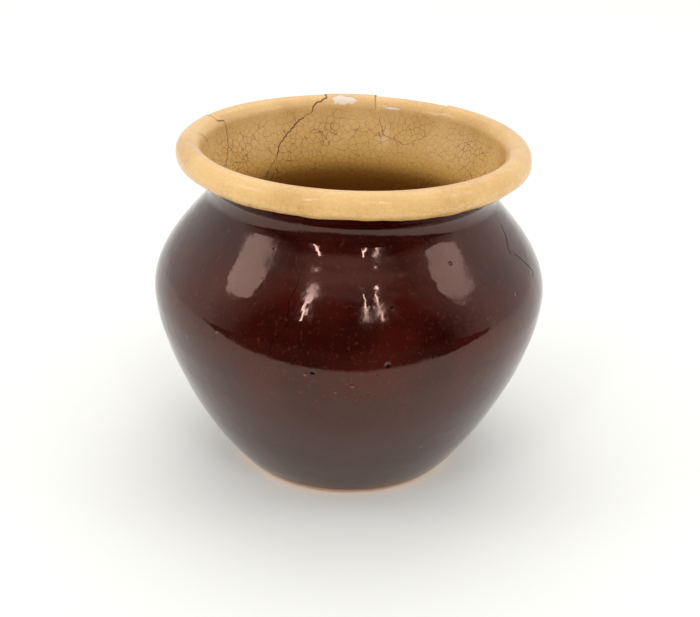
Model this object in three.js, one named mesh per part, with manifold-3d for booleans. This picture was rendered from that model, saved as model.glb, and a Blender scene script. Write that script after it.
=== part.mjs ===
// A bean pot: a thrown clay pot with a brown glaze outside and a cream glaze on its rim and inside.
// It was broken once, so three sherds are set back into the wall with glue.
// Millimetres, +Z up. The origin is the middle of the foot's underside.
import * as THREE from 'three';
import { mergeVertices } from 'three/addons/utils/BufferGeometryUtils.js';
import Module from 'manifold-3d';

const wasm = await Module();
wasm.setup();

// Outer surface, glaze included
const HEIGHT = 141;
const FOOT_RADIUS = 46.8;
const BELLY_RADIUS = 82.5;
const BELLY_HEIGHT = 78;
const NECK_RADIUS = 59.5;
const NECK_HEIGHT = 118;
const RIM_RADIUS = 72.6;
const RIM_ROLL = 5.4;

// Wall and base
const WALL = 6.5;
const NECK_WALL = 5;
const BASE_THICKNESS = 9;
const FLOOR_RADIUS = 36;
const THROAT_HEIGHT = 113;
const CAVITY_HEIGHT = 74;

// How the outline bends: the pull of each curve's handles
const FOOT_PULL = { out: 18.5, up: 21 };
const BELLY_PULL_DOWN = 20;
const BELLY_PULL_UP = 17;
const NECK_PULL = { out: 4, down: 8.5 };
const NECK_PULL_UP = 6;
const THROAT_PULL = 9;
const FLOOR_PULL = 26;

// Glazes
const GLAZE = 0.5;
const GLAZE_CLEARANCE = 0.25;
const GLAZE_LINE_GAP = 0.8;
const BARE_FOOT = 1.6;
const UNDER_RIM_ANGLE = -110;
const GLAZE_LINE_ANGLE = -70;

// Cracks
const GLUE = 0.4;
const GLUE_CLEARANCE = 0.25;
const CUT_INNER_RADIUS = 30;
const CUT_MARGIN = 28;
const ABOVE_RIM = 11;
const SHARPEST_CORNER = 0.4;

// Facets
const SEGMENTS = 32;
const WALL_STEPS = 5;
const NECK_STEPS = 3;
const RIM_STEPS = 7;
const SAME_POINT = 1e-6;
const MERGE_DISTANCE = 1e-5;

// Crack outlines on the wall: degrees round the axis, and depth under the rim's top.
// Each starts and ends above the rim.
const OPEN_TOP = -ABOVE_RIM;
const LEFT_CRACK = [[157, OPEN_TOP], [157, 1.5], [154, 4], [155, 13], [162, 19]];
const LEFT_WALL_SHERD = [
  [101, OPEN_TOP], [101, 1], [106, 3.5], [112, 9.2], [117, 12], [125, 18.6], [134, 30.4],
  [142, 41], [152, 47], [162, 41], [167, 31], ...LEFT_CRACK.toReversed(),
];
const LEFT_RIM_SHERD = [...LEFT_CRACK, [171, 19], [172, 6], [176, 2], [178, OPEN_TOP]];
const BACK_RIM_SHERD = [[50, OPEN_TOP], [52, 3], [56, 14], [66, 19], [76, 16], [81, 4], [83, OPEN_TOP]];

const rimCentre = new THREE.Vector2(RIM_RADIUS - RIM_ROLL, HEIGHT - RIM_ROLL);
const rimPoint = (degrees) => {
  const turn = THREE.MathUtils.degToRad(degrees);
  return new THREE.Vector2(RIM_ROLL * Math.cos(turn), RIM_ROLL * Math.sin(turn)).add(rimCentre);
};

function bezier(start, startHandle, endHandle, end, steps) {
  const curve = new THREE.CubicBezierCurve(
    new THREE.Vector2(...start), new THREE.Vector2(...startHandle),
    new THREE.Vector2(...endHandle), new THREE.Vector2(...end));
  return curve.getPoints(steps);
}

function rimArc(fromDegrees, toDegrees, steps) {
  return Array.from({ length: steps + 1 }, (_, i) => rimPoint(fromDegrees + (toDegrees - fromDegrees) * i / steps));
}

// Joins runs of points, dropping a point that repeats the one before it
function joined(...runs) {
  const points = runs.flat();
  return points.filter((point, i) => i === 0 || point.distanceTo(points[i - 1]) > SAME_POINT);
}

// From the foot up to the glaze line under the rim
function outerOutline() {
  const lower = bezier(
    [FOOT_RADIUS, 0], [FOOT_RADIUS + FOOT_PULL.out, FOOT_PULL.up],
    [BELLY_RADIUS, BELLY_HEIGHT - BELLY_PULL_DOWN], [BELLY_RADIUS, BELLY_HEIGHT], WALL_STEPS);
  const shoulder = bezier(
    [BELLY_RADIUS, BELLY_HEIGHT], [BELLY_RADIUS, BELLY_HEIGHT + BELLY_PULL_UP],
    [NECK_RADIUS + NECK_PULL.out, NECK_HEIGHT - NECK_PULL.down], [NECK_RADIUS, NECK_HEIGHT], WALL_STEPS);
  const underRim = rimPoint(UNDER_RIM_ANGLE);
  const neck = bezier(
    [NECK_RADIUS, NECK_HEIGHT], [NECK_RADIUS, NECK_HEIGHT + NECK_PULL_UP],
    [NECK_RADIUS, NECK_HEIGHT + NECK_PULL_UP], [underRim.x, underRim.y], NECK_STEPS);
  return joined(lower, shoulder, neck, rimArc(UNDER_RIM_ANGLE, GLAZE_LINE_ANGLE, 1));
}

// From the glaze line over the rim and down the inside to the middle of the floor
function innerOutline() {
  const lip = rimPoint(180);
  const throat = [NECK_RADIUS - NECK_WALL, THROAT_HEIGHT];
  const cavity = [BELLY_RADIUS - WALL, CAVITY_HEIGHT];
  const down = bezier([lip.x, lip.y], [lip.x, lip.y - NECK_PULL_UP],
    [throat[0], throat[1] + NECK_PULL_UP], throat, NECK_STEPS);
  const shoulder = bezier(throat, [throat[0], throat[1] - THROAT_PULL],
    [cavity[0], cavity[1] + BELLY_PULL_UP], cavity, WALL_STEPS);
  const lower = bezier(cavity, [cavity[0], cavity[1] - BELLY_PULL_DOWN],
    [FLOOR_RADIUS + FLOOR_PULL, BASE_THICKNESS], [FLOOR_RADIUS, BASE_THICKNESS], WALL_STEPS);
  const over = rimArc(GLAZE_LINE_ANGLE, 180, RIM_STEPS);
  return joined(over, down, shoulder, lower, [new THREE.Vector2(0, BASE_THICKNESS)]);
}

// Moves an outline into the wall, which lies on its left as it is drawn
function inset(points, distance) {
  return points.map((point, i) => {
    const before = points[Math.max(i - 1, 0)];
    const after = points[Math.min(i + 1, points.length - 1)];
    const along = after.clone().sub(before).normalize();
    const moved = new THREE.Vector2(point.x - along.y * distance, point.y + along.x * distance);
    return point.x === 0 ? new THREE.Vector2(0, moved.y) : moved;
  });
}

function lathe(outline) {
  const geometry = new THREE.LatheGeometry(outline, SEGMENTS);
  geometry.rotateX(Math.PI / 2);
  return solid(geometry);
}

// A closed geometry as a solid that can be joined and cut
function solid(geometry) {
  geometry.deleteAttribute('normal');
  geometry.deleteAttribute('uv');
  const merged = mergeVertices(geometry, MERGE_DISTANCE);
  const corners = Array.from(merged.index.array);
  const triangles = [];
  for (let i = 0; i < corners.length; i += 3) {
    const [a, b, c] = corners.slice(i, i + 3);
    if (a !== b && b !== c && c !== a) triangles.push(a, b, c);
  }
  return fromArrays(merged.attributes.position.array, triangles);
}

function fromArrays(positions, triangles) {
  const vertProperties = new Float32Array(positions);
  const make = (list) => new wasm.Manifold(
    new wasm.Mesh({ numProp: 3, vertProperties, triVerts: new Uint32Array(list) }));
  const made = make(triangles);
  return made.volume() > 0 ? made : make(triangles.toReversed());
}

function clayBody() {
  const depth = GLAZE + GLAZE_CLEARANCE;
  const faces = inset(joined(outerOutline(), innerOutline()), depth).filter((point) => point.y > BARE_FOOT);
  const foot = [new THREE.Vector2(0, 0), new THREE.Vector2(FOOT_RADIUS, 0)];
  const step = [new THREE.Vector2(FOOT_RADIUS + BARE_FOOT / 2, BARE_FOOT),
    new THREE.Vector2(FOOT_RADIUS + BARE_FOOT / 2 - depth, BARE_FOOT)];
  return lathe(joined(foot, step, faces));
}

function brownGlaze() {
  const lowest = BARE_FOOT + GLAZE_CLEARANCE;
  const start = new THREE.Vector2(FOOT_RADIUS + lowest / 2, lowest);
  const outer = outerOutline();
  outer[outer.length - 1] = rimPoint(GLAZE_LINE_ANGLE - THREE.MathUtils.radToDeg(GLAZE_LINE_GAP / RIM_ROLL));
  const face = [start, ...outer.filter((point) => point.y > lowest)];
  return lathe([...face, ...inset(face, GLAZE).toReversed(), start]);
}

function creamGlaze() {
  const face = innerOutline();
  const back = inset(face, GLAZE).toReversed();
  return lathe([...back, ...face, back[0]].toReversed());
}

// Grows a crack outline by a distance along the wall, or shrinks it with a negative one
function grown(outline, distance) {
  const degree = THREE.MathUtils.degToRad(1) * NECK_RADIUS;
  const flat = outline.map(([turn, depth]) => new THREE.Vector2(turn * degree, HEIGHT - depth));
  const outward = THREE.ShapeUtils.area(flat) > 0 ? 1 : -1;
  return flat.map((point, i) => {
    const before = flat[(i + flat.length - 1) % flat.length];
    const after = flat[(i + 1) % flat.length];
    const first = point.clone().sub(before).normalize();
    const second = after.clone().sub(point).normalize();
    const normal = new THREE.Vector2(first.y + second.y, -first.x - second.x).normalize();
    const stretch = 1 / Math.max(normal.dot(new THREE.Vector2(first.y, -first.x)), SHARPEST_CORNER);
    const moved = point.clone().addScaledVector(normal, outward * distance * stretch);
    return new THREE.Vector2(moved.x / degree, moved.y);
  });
}

// A solid through the wall inside a crack outline, with sides that point at the axis
function cutter(outline, distance) {
  const contour = grown(outline, distance);
  const count = contour.length;
  const positions = [];
  for (const radius of [CUT_INNER_RADIUS, BELLY_RADIUS + CUT_MARGIN]) {
    for (const point of contour) {
      const turn = THREE.MathUtils.degToRad(point.x);
      positions.push(radius * Math.cos(turn), radius * Math.sin(turn), point.y);
    }
  }
  const caps = THREE.ShapeUtils.triangulateShape(contour, []);
  const triangles = caps.flatMap(([a, b, c]) => [c, b, a, a + count, b + count, c + count]);
  const clockwise = THREE.ShapeUtils.area(contour) < 0;
  // Each side is split along the same diagonal whichever way the outline runs, so neighbours stay parallel
  for (let i = 0; i < count; i += 1) {
    const next = (i + 1) % count;
    const side = contour[i].x <= contour[next].x
      ? [i, next, next + count, i, next + count, i + count]
      : [i, next, i + count, next, next + count, i + count];
    triangles.push(...(clockwise ? side.toReversed() : side));
  }
  return fromArrays(positions, triangles);
}

function asMesh(name, shape, look) {
  const { vertProperties, triVerts } = shape.getMesh();
  const geometry = new THREE.BufferGeometry();
  geometry.setAttribute('position', new THREE.BufferAttribute(new Float32Array(vertProperties), 3));
  geometry.setIndex(new THREE.BufferAttribute(new Uint32Array(triVerts), 1));
  geometry.computeVertexNormals();
  const mesh = new THREE.Mesh(geometry, new THREE.MeshStandardMaterial({ ...look, metalness: 0 }));
  mesh.name = name;
  return mesh;
}

const CLAY = { color: 0xd8b394, roughness: 0.9 };
const BROWN = { color: 0x3a0d08, roughness: 0.15 };
const CREAM = { color: 0xdcb070, roughness: 0.25 };
const DRIED_GLUE = { color: 0x6e4524, roughness: 0.5 };

const sherds = {
  left_wall_sherd: LEFT_WALL_SHERD,
  left_rim_sherd: LEFT_RIM_SHERD,
  back_rim_sherd: BACK_RIM_SHERD,
};
const layers = {
  clay: [clayBody(), CLAY],
  brown_glaze: [brownGlaze(), BROWN],
  cream_glaze: [creamGlaze(), CREAM],
};

const halfGap = GLUE / 2 + GLUE_CLEARANCE;
const pot = new THREE.Group();

for (const [layer, [whole, look]] of Object.entries(layers)) {
  let main = whole;
  for (const [sherd, outline] of Object.entries(sherds)) {
    main = main.subtract(cutter(outline, halfGap));
    pot.add(asMesh(`${layer}_${sherd}`, whole.intersect(cutter(outline, -halfGap)), look));
  }
  pot.add(asMesh(`${layer}_main_body`, main, look));
}

// The glue that fills the cracks round one or more sherds
function glueSeam(name, outlines) {
  const outside = outlines.map((outline) => cutter(outline, GLUE / 2)).reduce((a, b) => a.add(b));
  const inside = outlines.map((outline) => cutter(outline, -GLUE / 2)).reduce((a, b) => a.add(b));
  return asMesh(name, layers.clay[0].intersect(outside.subtract(inside)), DRIED_GLUE);
}

pot.add(glueSeam('glue_seam_left', [LEFT_WALL_SHERD, LEFT_RIM_SHERD]));
pot.add(glueSeam('glue_seam_back', [BACK_RIM_SHERD]));

export default pot;
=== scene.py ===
# %% [markdown]
# A bean pot, mended from sherds. The real one was thrown on a wheel, so nearly all of it is one outline
# turned round an axis. It could be sculpted, but an outline from a few named sizes stays round and is easy
# to change.

# %% The frame
import math
import bmesh
import bpy
from mathutils import Matrix, Vector, geometry, noise


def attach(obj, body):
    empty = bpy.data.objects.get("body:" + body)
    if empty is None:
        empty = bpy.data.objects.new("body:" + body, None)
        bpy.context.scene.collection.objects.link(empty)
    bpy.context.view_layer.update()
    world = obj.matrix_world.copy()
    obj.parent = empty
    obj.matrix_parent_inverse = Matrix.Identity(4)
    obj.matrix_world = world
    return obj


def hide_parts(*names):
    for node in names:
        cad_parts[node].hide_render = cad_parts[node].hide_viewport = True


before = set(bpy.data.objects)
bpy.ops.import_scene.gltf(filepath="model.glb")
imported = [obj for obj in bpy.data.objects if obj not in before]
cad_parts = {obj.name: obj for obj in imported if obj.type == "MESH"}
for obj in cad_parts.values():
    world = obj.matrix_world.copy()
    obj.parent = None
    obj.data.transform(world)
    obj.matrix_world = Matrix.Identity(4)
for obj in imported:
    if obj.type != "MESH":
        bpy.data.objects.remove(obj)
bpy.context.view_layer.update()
MM = 0.001

# %% [markdown]
# These are the pot's own sizes, in millimetres. A Bezier curve gives each stretch of the wall with four
# points: where it starts, two handles that pull it, and where it ends. The rolled rim is an arc. A row of
# measured points would follow a pot as closely, but handles keep the wall smooth with far fewer numbers.

# %% The outline's sizes
HEIGHT = 141
FOOT_RADIUS = 46.8
FOOT_PULL_OUT = 18.5
FOOT_PULL_UP = 21
BELLY_RADIUS = 82.5
BELLY_HEIGHT = 78
BELLY_PULL_DOWN = 20
BELLY_PULL_UP = 17
NECK_RADIUS = 59.5
NECK_HEIGHT = 118
NECK_PULL_OUT = 4
NECK_PULL_DOWN = 8.5
NECK_PULL_UP = 6
RIM_RADIUS = 72.6
RIM_ROLL = 5.4
UNDER_RIM_ANGLE = -110
GLAZE_LINE_ANGLE = -70
LIP_ANGLE = 180
print("height", HEIGHT, "mm, belly", 2 * BELLY_RADIUS, "mm across")

# %% The wall's sizes
WALL = 6.5
NECK_WALL = 5
BASE_THICKNESS = 9
FLOOR_RADIUS = 36
FLOOR_PULL = 26
THROAT_HEIGHT = 113
THROAT_PULL = 9
CAVITY_HEIGHT = 74
GLAZE = 0.5
GLAZE_GAP = 0.02
BARE_FOOT = 1.6
BARE_GAP = 0.2
FOOT_CHAMFER = 0.8
FOOT_CHAMFER_RISE = 0.6

# %% Curves and arcs
CURVE_STEPS = 20
NECK_STEPS = 8
UNDER_RIM_STEPS = 4
RIM_STEPS = 22
SAME_POINT = 1e-4


def bezier(start, start_handle, end_handle, end, steps=CURVE_STEPS):
    corners = [Vector((*corner, 0)) for corner in (start, start_handle, end_handle, end)]
    return [(p.x, p.y) for p in geometry.interpolate_bezier(*corners, steps)]


def rim_point(degrees):
    turn = math.radians(degrees)
    return (RIM_RADIUS - RIM_ROLL + RIM_ROLL * math.cos(turn), HEIGHT - RIM_ROLL + RIM_ROLL * math.sin(turn))


def rim_arc(start, end, steps):
    return [rim_point(start + (end - start) * i / steps) for i in range(steps + 1)]


def joined(*runs):
    """Joins runs of points, dropping a point that repeats the one before it."""
    points = []
    for point in (p for run in runs for p in run):
        if not points or math.dist(point, points[-1]) > SAME_POINT:
            points.append(point)
    return points


# %% The outside and the inside
def outer_outline():
    """From the foot up to the line where the brown glaze ends under the rim."""
    foot = (FOOT_RADIUS, 0)
    belly = (BELLY_RADIUS, BELLY_HEIGHT)
    neck = (NECK_RADIUS, NECK_HEIGHT)
    above_neck = (NECK_RADIUS, NECK_HEIGHT + NECK_PULL_UP)
    lower = bezier(foot, (FOOT_RADIUS + FOOT_PULL_OUT, FOOT_PULL_UP),
                   (BELLY_RADIUS, BELLY_HEIGHT - BELLY_PULL_DOWN), belly)
    shoulder = bezier(belly, (BELLY_RADIUS, BELLY_HEIGHT + BELLY_PULL_UP),
                      (NECK_RADIUS + NECK_PULL_OUT, NECK_HEIGHT - NECK_PULL_DOWN), neck)
    flare = bezier(neck, above_neck, above_neck, rim_point(UNDER_RIM_ANGLE), NECK_STEPS)
    return joined(lower, shoulder, flare, rim_arc(UNDER_RIM_ANGLE, GLAZE_LINE_ANGLE, UNDER_RIM_STEPS))


def inner_outline():
    """From the same line round the rim, down the inside and to the middle of the floor."""
    lip = rim_point(LIP_ANGLE)
    throat = (NECK_RADIUS - NECK_WALL, THROAT_HEIGHT)
    cavity = (BELLY_RADIUS - WALL, CAVITY_HEIGHT)
    down = bezier(lip, (lip[0], lip[1] - NECK_PULL_UP), (throat[0], throat[1] + NECK_PULL_UP), throat,
                  NECK_STEPS)
    shoulder = bezier(throat, (throat[0], throat[1] - THROAT_PULL), (cavity[0], cavity[1] + BELLY_PULL_UP),
                      cavity)
    lower = bezier(cavity, (cavity[0], cavity[1] - BELLY_PULL_DOWN),
                   (FLOOR_RADIUS + FLOOR_PULL, BASE_THICKNESS), (FLOOR_RADIUS, BASE_THICKNESS))
    return joined(rim_arc(GLAZE_LINE_ANGLE, LIP_ANGLE, RIM_STEPS), down, shoulder, lower,
                  [(0, BASE_THICKNESS)])


def inset(points, distance):
    """Moves an outline into the wall, which lies on its left as it is drawn."""
    moved = []
    for i, (x, y) in enumerate(points):
        before, after = points[max(i - 1, 0)], points[min(i + 1, len(points) - 1)]
        along = Vector((after[0] - before[0], after[1] - before[1])).normalized()
        moved.append((0 if x == 0 else x - along.y * distance, y + along.x * distance))
    return moved


print("outline points", len(outer_outline()), len(inner_outline()))

# %% [markdown]
# A thrown pot is never quite true. Its wall wanders by a few tenths of a millimetre, fingers leave faint
# rings, and this rim sits a little to one side and leans. A Displace modifier could do this for one piece,
# but one function moves every layer alike, so they stay parallel.

# %% The hand of the potter
RIM_SHIFT = 0.7
RIM_LEAN = 0.008
LEAN_START = 104
LEAN_RISE = 22
TRUE_FOOT = 12
WANDER = 0.45
WANDER_SIZE = 42
RING_DEPTH = 0.07
RING_SPACING = 5.5
RING_DRIFT_SIZE = 60
GLAZE_LINE_HEIGHT = 130.5
GLAZE_LINE_BAND = 5
GLAZE_LINE_RADIUS = NECK_RADIUS + 3
GLAZE_WAVE = 0.7
GLAZE_WAVE_SIZE = 9
GLAZE_WAVE_LEVEL = 50
ON_AXIS = 1e-6


def thrown(point):
    """Where a point of the true outline lies on the real, slightly uneven pot."""
    x, y, z = point
    radius = math.hypot(x, y)
    if radius < ON_AXIS:
        return point
    wander = noise.noise(Vector((x, y, z)) / WANDER_SIZE) * WANDER
    drift = 2 * noise.noise(Vector((x, y, z)) / RING_DRIFT_SIZE)
    rings = math.sin(2 * math.pi * z / RING_SPACING + drift) * RING_DEPTH
    grow = 1 + (wander + rings) * min(z / TRUE_FOOT, 1) / radius
    top = min(max((z - LEAN_START) / LEAN_RISE, 0), 1)
    if radius > GLAZE_LINE_RADIUS:
        near_line = max(1 - abs(z - GLAZE_LINE_HEIGHT) / GLAZE_LINE_BAND, 0)
        z += noise.noise(Vector((x, y, GLAZE_WAVE_LEVEL)) / GLAZE_WAVE_SIZE) * GLAZE_WAVE * near_line
    return Vector((x * grow + RIM_SHIFT * top, y * grow, z - RIM_LEAN * x * top))


print("belly at the right, as thrown", thrown(Vector((BELLY_RADIUS, 0, BELLY_HEIGHT))))

# %% [markdown]
# The clay and the two glazes are three closed solids, each turned from its own outline. A Screw modifier
# turns an outline too, but mesh code can pass each point through the potter's hand on the way. Every mesh
# has its doubled points merged and its faces turned outwards.

# %% Meshes and turning
SEGMENTS = 240
MERGE_DISTANCE = 1e-7


def closed(mesh):
    """Merges doubled points and turns the faces outwards."""
    work = bmesh.new()
    work.from_mesh(mesh)
    bmesh.ops.remove_doubles(work, verts=work.verts, dist=MERGE_DISTANCE)
    bmesh.ops.recalc_face_normals(work, faces=work.faces)
    work.to_mesh(mesh)
    work.free()


def placed(name, data):
    """Puts a mesh, a curve, a lamp or a camera into the scene."""
    holder = bpy.data.objects.new(name, data)
    bpy.context.scene.collection.objects.link(holder)
    return holder


def new_piece(name, vertices, faces):
    """Makes a piece from points in millimetres."""
    mesh = bpy.data.meshes.new(name)
    mesh.from_pydata([Vector(v) * MM for v in vertices], [], faces)
    closed(mesh)
    return placed(name, mesh)


def turned(name, outline):
    """Turns a closed outline round the axis into one closed solid."""
    count = len(outline)
    vertices = []
    for s in range(SEGMENTS):
        turn = 2 * math.pi * s / SEGMENTS
        vertices += [thrown(Vector((r * math.cos(turn), r * math.sin(turn), z))) for r, z in outline]
    faces = []
    for s in range(SEGMENTS):
        here, there = s * count, (s + 1) % SEGMENTS * count
        for i in range(count):
            j = (i + 1) % count
            if outline[i][0] == 0 and outline[j][0] == 0:
                continue
            if outline[i][0] == 0:
                faces.append((here + i, there + j, here + j))
            elif outline[j][0] == 0:
                faces.append((here + i, there + i, here + j))
            else:
                faces.append((here + i, there + i, there + j, here + j))
    return new_piece(name, vertices, faces)


# %% Outlines of the three layers
def clay_outline():
    """The clay under both glazes, bare at the foot."""
    skin = inset(joined(outer_outline(), inner_outline()), GLAZE + GLAZE_GAP)
    edge = FOOT_RADIUS + BARE_FOOT / 2
    foot = [(0, 0), (FOOT_RADIUS - FOOT_CHAMFER, 0), (FOOT_RADIUS, FOOT_CHAMFER_RISE), (edge, BARE_FOOT),
            (edge - GLAZE, BARE_FOOT)]
    return foot + [p for p in skin if p[1] > BARE_FOOT]


def brown_outline():
    face = [p for p in outer_outline() if p[1] > BARE_FOOT + BARE_GAP]
    return face + inset(face, GLAZE)[::-1]


def cream_outline():
    face = inner_outline()
    return face + inset(face, GLAZE)[::-1]


print("layer points", len(clay_outline()), len(brown_outline()), len(cream_outline()))

# %% [markdown]
# The cracks part the wall into sherds. Each outline is a line in degrees round the axis and height over the
# foot, and it closes above the rim. A crack could be painted on, but a real gap catches the light. Cutting
# the finished layers with a solid that points at the axis keeps both sides of a crack the same shape.

# %% The sherds
OPEN_TOP = HEIGHT + 11
LEFT_CRACK = [(158, OPEN_TOP), (158, 140), (154, 138.5), (153, 135), (155, 128), (162, 122)]
SHERDS = {
    "left_wall_sherd": [(101, OPEN_TOP), (101, 140.2), (106, 138), (108, 134.3), (112, 131.8), (117, 129.1),
                        (121, 125.4), (125, 122.4), (128, 117.5), (132, 114.3), (134, 110.6), (142, 100),
                        (152, 94), (162, 100), (167, 110)] + LEFT_CRACK[::-1],
    "left_rim_sherd": LEFT_CRACK + [(170, 121), (172, 128), (172, 135), (176, 139), (178.5, 140.6),
                                    (179, OPEN_TOP)],
    "back_rim_sherd": [(50, OPEN_TOP), (52, 138), (56, 127), (66, 122), (76, 125), (81, 137),
                       (83, OPEN_TOP)],
}
CRACK_WIDTH = {"left_wall_sherd": 0.6, "left_rim_sherd": 0.4, "back_rim_sherd": 0.14}
SETTLED = {"left_wall_sherd": -0.35, "left_rim_sherd": -0.1, "back_rim_sherd": -0.6}
print("sherds", list(SHERDS))

# %% Cutters
CUT_RADII = (30, BELLY_RADIUS + 28)
JAG = 0.7
JAG_SIZE = 2.3
JAG_LEVELS = (3, 9)
JAG_STEP = 2.5
MM_PER_DEGREE = math.radians(1) * NECK_RADIUS


def jagged(outline):
    """Splits a crack line into short steps that wander, as fired clay breaks."""
    flat = [Vector((turn * MM_PER_DEGREE, height)) for turn, height in outline]
    points = []
    for i, start in enumerate(flat):
        end = flat[(i + 1) % len(flat)]
        steps = max(int((end - start).length / JAG_STEP), 1)
        for step in range(steps):
            at = start.lerp(end, step / steps)
            wander = [noise.noise(Vector((at.x, at.y, level)) / JAG_SIZE) for level in JAG_LEVELS]
            points.append(at + Vector(wander) * JAG)
    return points


def grown(points, distance):
    """Moves a closed line outwards by a distance, or inwards by a negative one."""
    area = sum(a.x * b.y - b.x * a.y for a, b in zip(points, points[1:] + points[:1]))
    sign = 1 if area > 0 else -1
    moved = []
    for i, point in enumerate(points):
        along = (points[(i + 1) % len(points)] - points[i - 1]).normalized()
        moved.append(point + Vector((along.y, -along.x)) * distance * sign)
    return moved


def cutter(outline, distance):
    """A solid that runs from near the axis out through the wall, with a crack line as its section."""
    contour = grown(jagged(outline), distance)
    count = len(contour)
    vertices = []
    for radius in CUT_RADII:
        for point in contour:
            turn = math.radians(point.x / MM_PER_DEGREE)
            vertices.append((radius * math.cos(turn), radius * math.sin(turn), point.y))
    caps = geometry.tessellate_polygon([[Vector((p.x, p.y, 0)) for p in contour]])
    faces = [tuple(cap) for cap in caps] + [tuple(i + count for i in cap[::-1]) for cap in caps]
    for i in range(count):
        j = (i + 1) % count
        sides = ((i, j, j + count), (i, j + count, i + count))
        if contour[i].x > contour[j].x:
            sides = ((i, j, i + count), (j, j + count, i + count))
        faces += sides
    return new_piece("cutter", vertices, faces)


# %% Cutting
def baked(piece):
    """The plain mesh that a piece has once its modifiers or its bevel are worked out."""
    return bpy.data.meshes.new_from_object(piece.evaluated_get(bpy.context.evaluated_depsgraph_get()))


def removed(*pieces):
    for piece in pieces:
        bpy.data.objects.remove(piece)


def combined(piece, tool, operation, name):
    """Cuts a copy of a piece with a tool and leaves a plain mesh."""
    work = placed(name, piece.data.copy())
    step = work.modifiers.new("cut", "BOOLEAN")
    step.operation = operation
    step.object = tool
    step.solver = "MANIFOLD"
    mesh = baked(work)
    work.modifiers.clear()
    work.data = mesh
    return work


def parted(layer, whole):
    """Cuts a whole layer into its main body and its sherds, each let down as it was glued."""
    parts = {}
    main = whole
    for sherd, outline in SHERDS.items():
        inside = cutter(outline, -CRACK_WIDTH[sherd] / 2)
        outside = cutter(outline, CRACK_WIDTH[sherd] / 2)
        piece = combined(whole, inside, "INTERSECT", f"{layer}_{sherd}_fine")
        piece.data.transform(Matrix.Translation((0, 0, SETTLED[sherd] * MM)))
        parts[f"{layer}_{sherd}"] = piece
        rest = combined(main, outside, "DIFFERENCE", f"{layer}_main_body_fine")
        if main is not whole:
            removed(main)
        main = rest
        removed(inside, outside)
    parts[f"{layer}_main_body"] = main
    return parts


# %% [markdown]
# Two cracks on the outside fade out and free no piece. A line in the material would stay flat in a glancing
# light, so they are fine grooves, cut by a thin tube that follows the surface.

# %% Hairline cracks
FRONT_CRACK = [(251.5, 113), (252, 110.7), (254.7, 108.5), (254.5, 104), (253, 99), (253.9, 91.7),
               (252.1, 88.4), (250.1, 84.7), (249.7, 81.9), (250.3, 78.8)]
RIGHT_CRACK = [(341.6, 112), (339.7, 108.3), (337.1, 106.5), (335.6, 105.2), (335.3, 103), (338.1, 102),
               (339.1, 100.2), (341.4, 96.9), (343.5, 93), (341.7, 91)]
HAIRLINE = 0.34
HAIRLINE_STEPS = 3
HAIRLINE_WAVER = 0.35


def outer_radius(height):
    points = outer_outline()
    for (r0, z0), (r1, z1) in zip(points, points[1:]):
        if z0 <= height <= z1:
            return r0 + (r1 - r0) * (height - z0) / (z1 - z0)
    return points[-1][0]


def on_outside(degrees, height):
    """A point of the true outside, in millimetres."""
    turn, radius = math.radians(degrees), outer_radius(height)
    return Vector((radius * math.cos(turn), radius * math.sin(turn), height))


def groove(path):
    """A thin closed tube along a crack."""
    curve = bpy.data.curves.new("groove", "CURVE")
    curve.dimensions = "3D"
    curve.bevel_depth = HAIRLINE * MM
    curve.bevel_resolution = 1
    curve.use_fill_caps = True
    fine = []
    for (t0, z0), (t1, z1) in zip(path, path[1:]):
        shares = [k / HAIRLINE_STEPS for k in range(HAIRLINE_STEPS)]
        fine += [(t0 + (t1 - t0) * share, z0 + (z1 - z0) * share) for share in shares]
    spline = curve.splines.new("POLY")
    spline.points.add(len(fine) - 1)
    for point, (degrees, height) in zip(spline.points, fine):
        waver = HAIRLINE_WAVER * noise.noise(Vector((degrees, height, 1)))
        point.co = (*(thrown(on_outside(degrees + waver, height)) * MM), 1)
    holder = placed("groove", curve)
    mesh = baked(holder)
    removed(holder)
    closed(mesh)
    return placed("groove", mesh)


# %% [markdown]
# The pieces are made here: three layers, each parted at the cracks, and the glue that shows as a brown line.
# The glue could be a tube along each crack. Here it is the wall itself, kept only between the two sides of a
# crack, so it fills the gap and stands no prouder than the glaze.

# %% The layers
pieces = {}
brown_whole = turned("brown_whole", brown_outline())
for path in (FRONT_CRACK, RIGHT_CRACK):
    tube = groove(path)
    grooved = combined(brown_whole, tube, "DIFFERENCE", "brown_whole")
    removed(brown_whole, tube)
    brown_whole = grooved
wholes = {"brown_glaze": brown_whole, "cream_glaze": turned("cream_whole", cream_outline()),
          "clay": turned("clay_whole", clay_outline())}
for layer, whole in wholes.items():
    pieces.update(parted(layer, whole))
    removed(whole)
print("layers and sherds", len(pieces))

# %% The glue
GLUED = {"glue_seam_left": ("left_wall_sherd", "left_rim_sherd"), "glue_seam_back": ("back_rim_sherd",)}
GLUE_INSET = 0.1
GLUE_BOTTOM = 60


def glue_ring(name, sherds):
    """The glue between sherds: the layers' own wall, kept only inside the cracks."""
    wall = inset(joined(outer_outline(), inner_outline()), GLUE_INSET)
    ring = turned("glue_wall", [(r, z) for r, z in wall if z > GLUE_BOTTOM])
    parts = []
    for sherd in sherds:
        outside = cutter(SHERDS[sherd], CRACK_WIDTH[sherd] / 2)
        inside = cutter(SHERDS[sherd], -CRACK_WIDTH[sherd] / 2)
        band = combined(outside, inside, "DIFFERENCE", "band")
        parts.append(combined(ring, band, "INTERSECT", "seam"))
        removed(outside, inside, band)
    seam = parts[0]
    for other in parts[1:]:
        whole_seam = combined(seam, other, "UNION", "seam")
        removed(seam, other)
        seam = whole_seam
    removed(ring)
    seam.name = name + "_fine"
    return seam


for name, sherds in GLUED.items():
    pieces[name] = glue_ring(name, sherds)
for name, piece in pieces.items():
    print(name, len(piece.data.polygons), "faces")

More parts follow.
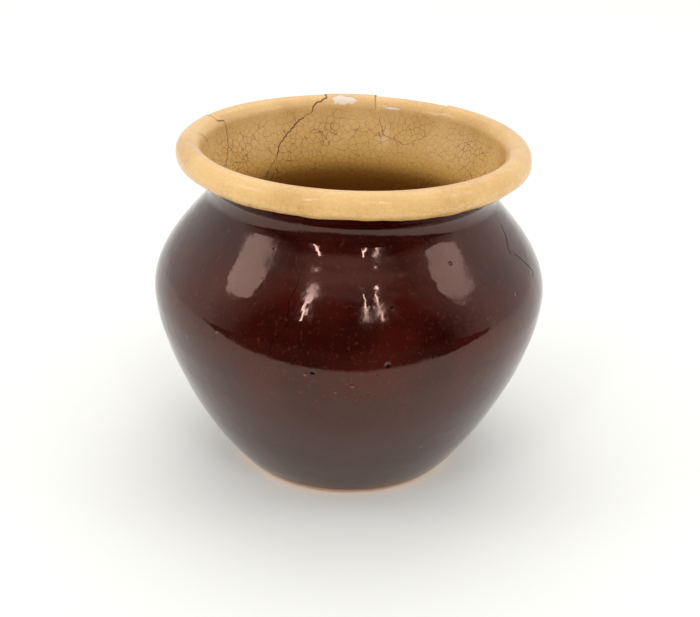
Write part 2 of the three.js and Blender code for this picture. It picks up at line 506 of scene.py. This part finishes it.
# %% [markdown]
# Materials. A glaze is a thin glass, so its gloss comes from its index of refraction and its colour from
# what lies under the glass. Colours are written as sRGB hex, as a paint chart gives them, and one function
# turns them to the linear values that a renderer adds up.


# %% Helpers for colour and nodes
def linear(hex_colour):
    values = [int(hex_colour[i:i + 2], 16) / 255 for i in (1, 3, 5)]
    return (*[v / 12.92 if v <= 0.04045 else ((v + 0.055) / 1.055) ** 2.4 for v in values], 1)


def node(tree, kind, inputs=None, **settings):
    """Adds a node, sets it up, and links or fills its inputs."""
    made = tree.nodes.new(kind)
    for key, value in settings.items():
        setattr(made, key, value)
    for key, value in (inputs or {}).items():
        if isinstance(value, bpy.types.NodeSocket):
            tree.links.new(value, made.inputs[key])
        else:
            made.inputs[key].default_value = value
    return made


def new_material(name):
    material = bpy.data.materials.new(name)
    material.use_nodes = True
    tree = material.node_tree
    tree.nodes.clear()
    where = node(tree, "ShaderNodeTexCoord").outputs["Object"]
    return material, tree, where


def fraction(tree, value, low, high, start=0.0, end=1.0):
    """Runs from start to end while a value runs from low to high, and stops there."""
    return node(tree, "ShaderNodeMapRange", {0: value, 1: low, 2: high, 3: start, 4: end}).outputs[0]


def blend(tree, factor, first, second):
    return node(tree, "ShaderNodeMix", {0: factor, 6: first, 7: second}, data_type="RGBA").outputs[2]


def maths(tree, operation, *values):
    return node(tree, "ShaderNodeMath", dict(enumerate(values)), operation=operation).outputs[0]


def clouds(tree, where, size_mm, detail=2.0):
    """Soft noise whose lumps are about this size."""
    return node(tree, "ShaderNodeTexNoise", {"Vector": where, "Scale": 1 / (size_mm * MM), "Detail": detail})


def finished(tree, colour, roughness, relief=None, depth_mm=0.0, **fixed):
    """Ends a material with one surface, raised where its relief is high."""
    surface = {"Base Color": colour, "Roughness": roughness, **fixed}
    if relief is not None:
        bump = node(tree, "ShaderNodeBump", {"Height": relief, "Distance": depth_mm * MM, "Strength": 1.0})
        surface["Normal"] = bump.outputs[0]
    shader = node(tree, "ShaderNodeBsdfPrincipled", surface)
    node(tree, "ShaderNodeOutputMaterial", {"Surface": shader.outputs[0]})


# %% [markdown]
# Brown treacle glaze: iron glass over pale clay, dipped and fired. It pools dark, thins to red, and has
# small pits where gas came through. The eye sees near black with a red warmth and a mirror gloss that hazes
# in patches. The index of refraction starts from the 1.5 of plain glass and is raised to match its gloss.

# %% Beads and pits
# Degrees, height and half width in millimetres, and 1 for a bead or -1 for a pit
MARKS = ((-100.6, 73.8, 0.9, 1), (-98.7, 75.4, 1.2, -1), (-127, 82.8, 0.6, 1), (-92.8, 66.7, 0.6, 1),
         (-88.4, 69.9, 1.0, 1), (-82, 74.9, 0.5, -1), (-52.6, 64.6, 0.6, 1), (-79.4, 78.9, 1.4, -1))
MARK_RELIEF = 4.0
MARK_CORE = 0.3
BEAD_COLOUR = "#7d3f33"
PIT_COLOUR = "#0a0101"


def marked(tree, where, colour, relief):
    """Lays the beads and pits over a colour and a relief."""
    for degrees, height, half_width, rise in MARKS:
        centre = on_outside(degrees, height) * MM
        distance = node(tree, "ShaderNodeVectorMath", {0: where, 1: centre}, operation="DISTANCE")
        edge = half_width * MM
        mask = fraction(tree, distance.outputs["Value"], edge * MARK_CORE, edge, 1.0, 0.0)
        colour = blend(tree, mask, colour, linear(BEAD_COLOUR if rise > 0 else PIT_COLOUR))
        relief = maths(tree, "MULTIPLY_ADD", mask, rise * MARK_RELIEF, relief)
    return colour, relief


# %% Brown treacle glaze
POOL_SIZE = 26
SPECK_SIZE = 1.6
PIT_SPACING = 13
PEEL_SIZE = 7
HAZE_SIZE = 15
# Heights in metres over which the painted reflection of the pale floor fades in on the lower belly
PAINTED_FLOOR_REFLECTION_BELOW = (0.07, 0.03)
TREACLE_ROUGHNESS = (0.05, 0.17)
TREACLE_RELIEF = 0.13
TREACLE_GLOSS = {"IOR": 1.62, "Specular Tint": linear("#ffd2c2")}


def treacle_glaze():
    material, tree, where = new_material("treacle_glaze_dipped")
    pooled = fraction(tree, clouds(tree, where, POOL_SIZE, 4.0).outputs["Fac"], 0.35, 0.7)
    colour = blend(tree, pooled, linear("#230302"), linear("#3e0e09"))
    specks = fraction(tree, clouds(tree, where, SPECK_SIZE, 3.0).outputs["Fac"], 0.58, 0.75, 0.0, 0.5)
    colour = blend(tree, specks, colour, linear("#5c2a1c"))
    height = node(tree, "ShaderNodeSeparateXYZ", {0: where}).outputs["Z"]
    # Painted reflection: below 70 mm the glaze is painted a paler, greyer brown, standing in for the pale
    # floor mirrored in the lower belly.
    colour = blend(tree, fraction(tree, height, *PAINTED_FLOOR_REFLECTION_BELOW), colour, linear("#33201a"))
    pits = node(tree, "ShaderNodeTexVoronoi", {"Vector": where, "Scale": 1 / (PIT_SPACING * MM)})
    pit = fraction(tree, pits.outputs["Distance"], 0.03, 0.075)
    colour = blend(tree, pit, linear("#120201"), colour)
    relief = maths(tree, "ADD", pit, clouds(tree, where, PEEL_SIZE).outputs["Fac"])
    haze = clouds(tree, where, HAZE_SIZE, 6.0).outputs["Fac"]
    roughness = fraction(tree, haze, 0.4, 0.68, *TREACLE_ROUGHNESS)
    colour, relief = marked(tree, where, colour, relief)
    finished(tree, colour, roughness, relief, TREACLE_RELIEF, **TREACLE_GLOSS)
    return material


# %% [markdown]
# Cream glaze: a clear glaze over pale clay. It shrank more than the clay, so it crazed into cells of 2 to
# 3 mm, and years of cooking stained the lines brown. A Voronoi texture gives such cells, bent by noise so
# that none is straight. Lower down, the colour is painted darker, first ochre and then brown, as painted
# shade and bounce light inside the pot. On the rolled rim the lines are faint. Two pale matt patches sit on
# the back of the rim: one is a chip that has lost its glaze, and a thin one is partly a chip and partly a
# painted highlight along the chipped edge.

# %% Chips
# The first patch is a chip that has lost its glaze. The second, thin one is partly a chip and partly a
# painted highlight along the chipped lower edge of the back sherd.
# Centre and half sizes, in millimetres
CHIPS_AND_EDGE_HIGHLIGHT = (((-4.6, 63.5, 139.2), (6.2, 3.5, 2.2)),
         ((17.5, 59.8, 136.8), (5.2, 2.5, 0.6)))
CHIP_ROUGH = 2.2
CHIP_EDGE = (1.3, 1.45)


def patch_mask(tree, where, centre, size):
    """1 inside a rough-edged blob with this centre and these half sizes."""
    rough = clouds(tree, where, CHIP_ROUGH, 3.0).outputs["Fac"]
    inputs = {0: where, 1: Vector(centre) * MM}
    place = node(tree, "ShaderNodeVectorMath", inputs, operation="SUBTRACT").outputs[0]
    inputs = {0: place, 1: Vector(size) * MM}
    scaled = node(tree, "ShaderNodeVectorMath", inputs, operation="DIVIDE").outputs[0]
    away = node(tree, "ShaderNodeVectorMath", {0: scaled}, operation="LENGTH").outputs["Value"]
    return fraction(tree, maths(tree, "ADD", rough, away), *CHIP_EDGE, 1.0, 0.0)


# %% Cream crazed glaze
CRAZE_CELL = 2.7
CRAZE_BEND = 2.2
CRAZE_BEND_SIZE = 6
STAIN_SIZE = 22
# Heights in metres over which the painted shade inside deepens, first to ochre and then to brown
PAINTED_SHADE_OCHRE_BELOW = (0.138, 0.1)
PAINTED_SHADE_BROWN_BELOW = (0.108, 0.085)
CRAZE_SHOWS_BELOW = (0.137, 0.128)
CREAM_ROUGHNESS = (0.2, 0.7)
CREAM_RELIEF = -0.05
CHIP_DEPTH = 6.0


def craze_lines(tree, where):
    """1 on the lines between the cells."""
    warp = clouds(tree, where, CRAZE_BEND_SIZE).outputs["Color"]
    inputs = {0: warp, 1: (CRAZE_BEND * MM,) * 3}
    bent = node(tree, "ShaderNodeVectorMath", inputs, operation="MULTIPLY").outputs[0]
    spot = node(tree, "ShaderNodeVectorMath", {0: where, 1: bent}, operation="ADD").outputs[0]
    inputs = {"Vector": spot, "Scale": 1 / (CRAZE_CELL * MM)}
    net = node(tree, "ShaderNodeTexVoronoi", inputs, feature="DISTANCE_TO_EDGE")
    return fraction(tree, net.outputs["Distance"], 0.015, 0.05, 1.0, 0.0)


def cream_glaze():
    material, tree, where = new_material("cream_glaze_crazed")
    height = node(tree, "ShaderNodeSeparateXYZ", {0: where}).outputs["Z"]
    line = craze_lines(tree, where)
    stain = fraction(tree, clouds(tree, where, STAIN_SIZE, 5.0).outputs["Fac"], 0.42, 0.66)
    # Painted shade: the glaze is painted ochre from 138 mm down to 100 mm, then brown from 108 mm down to 85
    # mm, so the inside darkens with depth.
    colour = blend(tree, fraction(tree, height, *PAINTED_SHADE_OCHRE_BELOW), linear("#e9be7f"), linear("#c7963d"))
    colour = blend(tree, fraction(tree, height, *PAINTED_SHADE_BROWN_BELOW), colour, linear("#8e4f12"))
    colour = blend(tree, maths(tree, "MULTIPLY", stain, 0.45), colour, linear("#c79550"))
    shown = fraction(tree, height, *CRAZE_SHOWS_BELOW, 0.12, 1.0)
    worn = maths(tree, "MULTIPLY", fraction(tree, stain, 0.0, 1.0, 0.3, 0.85), shown)
    colour = blend(tree, maths(tree, "MULTIPLY", worn, line), colour, linear("#6e4a1c"))
    # Pale matt patches: a bare chip, and a thin patch that is partly a chip and partly a painted highlight.
    chips_and_highlight = [patch_mask(tree, where, centre, size) for centre, size in CHIPS_AND_EDGE_HIGHLIGHT]
    for chip in chips_and_highlight:
        colour = blend(tree, chip, colour, linear("#f2dccb"))
    chipped_and_highlit = maths(tree, "MAXIMUM", *chips_and_highlight)
    roughness = fraction(tree, chipped_and_highlit, 0.0, 1.0, *CREAM_ROUGHNESS)
    dent = maths(tree, "MULTIPLY_ADD", chipped_and_highlit, CHIP_DEPTH, line)
    finished(tree, colour, roughness, dent, CREAM_RELIEF, IOR=1.5)
    return material


# %% [markdown]
# Bare fired clay at the foot: open, matt and slightly pink, with fine grains. Dried glue: brown and half
# matt, a little uneven. Both show only as thin lines, so one or two noises are enough.

# %% Clay and glue
CLAY_GRAIN = 0.8
CLAY_CLOUD = 12
CLAY_ROUGHNESS = 0.9
GLUE_CLOUD = 3
GLUE_ROUGHNESS = 0.5
FINE_RELIEF = 0.1


def bare_clay():
    material, tree, where = new_material("fired_clay_bare")
    grain = clouds(tree, where, CLAY_GRAIN, 4.0).outputs["Fac"]
    cloud = clouds(tree, where, CLAY_CLOUD, 3.0).outputs["Fac"]
    colour = blend(tree, cloud, linear("#d9a98a"), linear("#e6c6a6"))
    colour = blend(tree, fraction(tree, grain, 0.6, 0.75, 0.0, 0.6), colour, linear("#9a6a4c"))
    finished(tree, colour, CLAY_ROUGHNESS, grain, FINE_RELIEF)
    return material


def dried_glue():
    material, tree, where = new_material("glue_dried")
    cloud = clouds(tree, where, GLUE_CLOUD, 3.0).outputs["Fac"]
    colour = blend(tree, cloud, linear("#6b3a18"), linear("#96602e"))
    finished(tree, colour, GLUE_ROUGHNESS, cloud, FINE_RELIEF)
    return material


LOOKS = {"brown_glaze": treacle_glaze(), "cream_glaze": cream_glaze(), "clay": bare_clay(),
         "glue": dried_glue()}
print("materials", [material.name for material in LOOKS.values()])

# %% [markdown]
# Every piece takes its material, rides on the pot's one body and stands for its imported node. Shading is
# smooth, but the sharp edges of a cut stay sharp.

# %% Dressing the frame
SHARP_ANGLE = math.radians(40)
for name, piece in pieces.items():
    slot = next(key for key in LOOKS if name.startswith(key))
    piece.data.materials.clear()
    piece.data.materials.append(LOOKS[slot])
    piece.data.shade_smooth()
    piece.data.set_sharp_from_angle(angle=SHARP_ANGLE)
    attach(piece, "root")
    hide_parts(name)
print("dressed", len(pieces), "pieces")

# %% [markdown]
# The pot stands on plain white paper. Its glossy belly mirrors pale paper below and something dim in front,
# which could be built as a small set. Here only rays that come off a glossy surface see the dim part, so the
# floor itself is plain from every side.

# %% Floor
PAPER_FRONT = -0.2
PAPER_EDGE = 0.02
FLOOR_HALF = 6000
PAPER_ROUGHNESS = 0.9


def paper_floor():
    corners = [(x * FLOOR_HALF, y * FLOOR_HALF, 0) for x, y in ((-1, -1), (1, -1), (1, 1), (-1, 1))]
    floor = new_piece("floor", corners, [(0, 1, 2, 3)])
    material, tree, where = new_material("white_paper")
    along = node(tree, "ShaderNodeSeparateXYZ", {0: where}).outputs["Y"]
    off_paper = maths(tree, "SUBTRACT", 1.0, fraction(tree, along, PAPER_FRONT - PAPER_EDGE, PAPER_FRONT))
    mirrored = node(tree, "ShaderNodeLightPath").outputs["Is Glossy Ray"]
    dim = maths(tree, "MULTIPLY", off_paper, mirrored)
    finished(tree, blend(tree, dim, linear("#fbfbf8"), linear("#3a3632")), PAPER_ROUGHNESS)
    floor.data.materials.append(material)


paper_floor()

# %% Room
WORLD_STRENGTH = 0.88
ROOM_BEHIND = (-0.55, -0.02)
ROOM_ABOVE = (0.72, 0.9)


def dim_front_world():
    """An even pale world that looks dim in front to glossy rays alone."""
    world = bpy.data.worlds.new("studio")
    bpy.context.scene.world = world
    world.use_nodes = True
    tree = world.node_tree
    tree.nodes.clear()
    toward = node(tree, "ShaderNodeTexCoord").outputs["Generated"]
    axes = node(tree, "ShaderNodeSeparateXYZ", {0: toward}).outputs
    open_sky = maths(tree, "MAXIMUM", fraction(tree, axes["Y"], *ROOM_BEHIND),
                     fraction(tree, axes["Z"], *ROOM_ABOVE))
    room = blend(tree, open_sky, linear("#383433"), linear("#fafaf8"))
    mirrored = node(tree, "ShaderNodeLightPath").outputs["Is Glossy Ray"]
    colour = blend(tree, mirrored, linear("#fcfcfa"), room)
    shade = node(tree, "ShaderNodeBackground", {"Color": colour, "Strength": WORLD_STRENGTH})
    node(tree, "ShaderNodeOutputWorld", {"Surface": shade.outputs[0]})


dim_front_world()
print("floor and room made, world strength", WORLD_STRENGTH)

# %% [markdown]
# Lamps: one broad soft light above and behind, a soft light at each side whose reflections make the pale
# patches on the shoulder, and tall narrow windows that make the crisp lines between them.

# %% Lamps
AIM = Vector((0, 0, 0.1))
LAMP_DISTANCE = 1.6


def lamp(name, azimuth, elevation, width, height, power, shape="RECTANGLE"):
    """An area lamp at these degrees round and up, with its size in metres and its power in watts."""
    data = bpy.data.lights.new(name, "AREA")
    data.shape = shape
    data.size = width
    data.size_y = height
    data.energy = power
    holder = placed(name, data)
    a, e = math.radians(azimuth), math.radians(elevation)
    toward = Vector((math.cos(e) * math.cos(a), math.cos(e) * math.sin(a), math.sin(e)))
    holder.location = AIM + toward * LAMP_DISTANCE
    holder.rotation_euler = toward.to_track_quat("Z", "Y").to_euler()


lamp("overhead", 90, 62, 1.4, 1.4, 5.5)
lamp("soft_left", -168, 38, 0.62, 0.6, 2.4, "ELLIPSE")
lamp("soft_right", -10, 38, 0.62, 0.6, 1.8, "ELLIPSE")
lamp("window_left", -118, 40, 0.05, 0.6, 1.8)
lamp("window_middle", -79, 42, 0.025, 0.5, 1.0)
lamp("window_right", -69, 42, 0.035, 0.5, 1.1)
print("lamps", len(bpy.data.lights))

# %% [markdown]
# The camera stands where the photograph was taken: about 25 degrees up, half a metre away, with the frame
# turned a degree and a half.

# %% Camera
ELEVATION = math.radians(24.85)
DISTANCE = 0.5212
TARGET = Vector((0.0007, 0, 0.0639))
ROLL = math.radians(1.47)
FOCAL_PIXELS = 1200
FRAME_PIXELS = 700
SENSOR = 36


def photo_camera():
    data = bpy.data.cameras.new("camera")
    data.sensor_width = SENSOR
    data.lens = FOCAL_PIXELS / FRAME_PIXELS * SENSOR
    camera = placed("camera", data)
    forward = Vector((0, math.cos(ELEVATION), -math.sin(ELEVATION)))
    level = Vector((1, 0, 0))
    upward = level.cross(forward)
    right = level * math.cos(ROLL) + upward * math.sin(ROLL)
    up = upward * math.cos(ROLL) - level * math.sin(ROLL)
    turn = Matrix((right, up, -forward)).transposed().to_4x4()
    camera.matrix_world = Matrix.Translation(TARGET - forward * DISTANCE) @ turn
    bpy.context.scene.camera = camera
    print("lens", round(data.lens, 1), "mm")


photo_camera()
bpy.context.scene.view_settings.view_transform = "Standard"
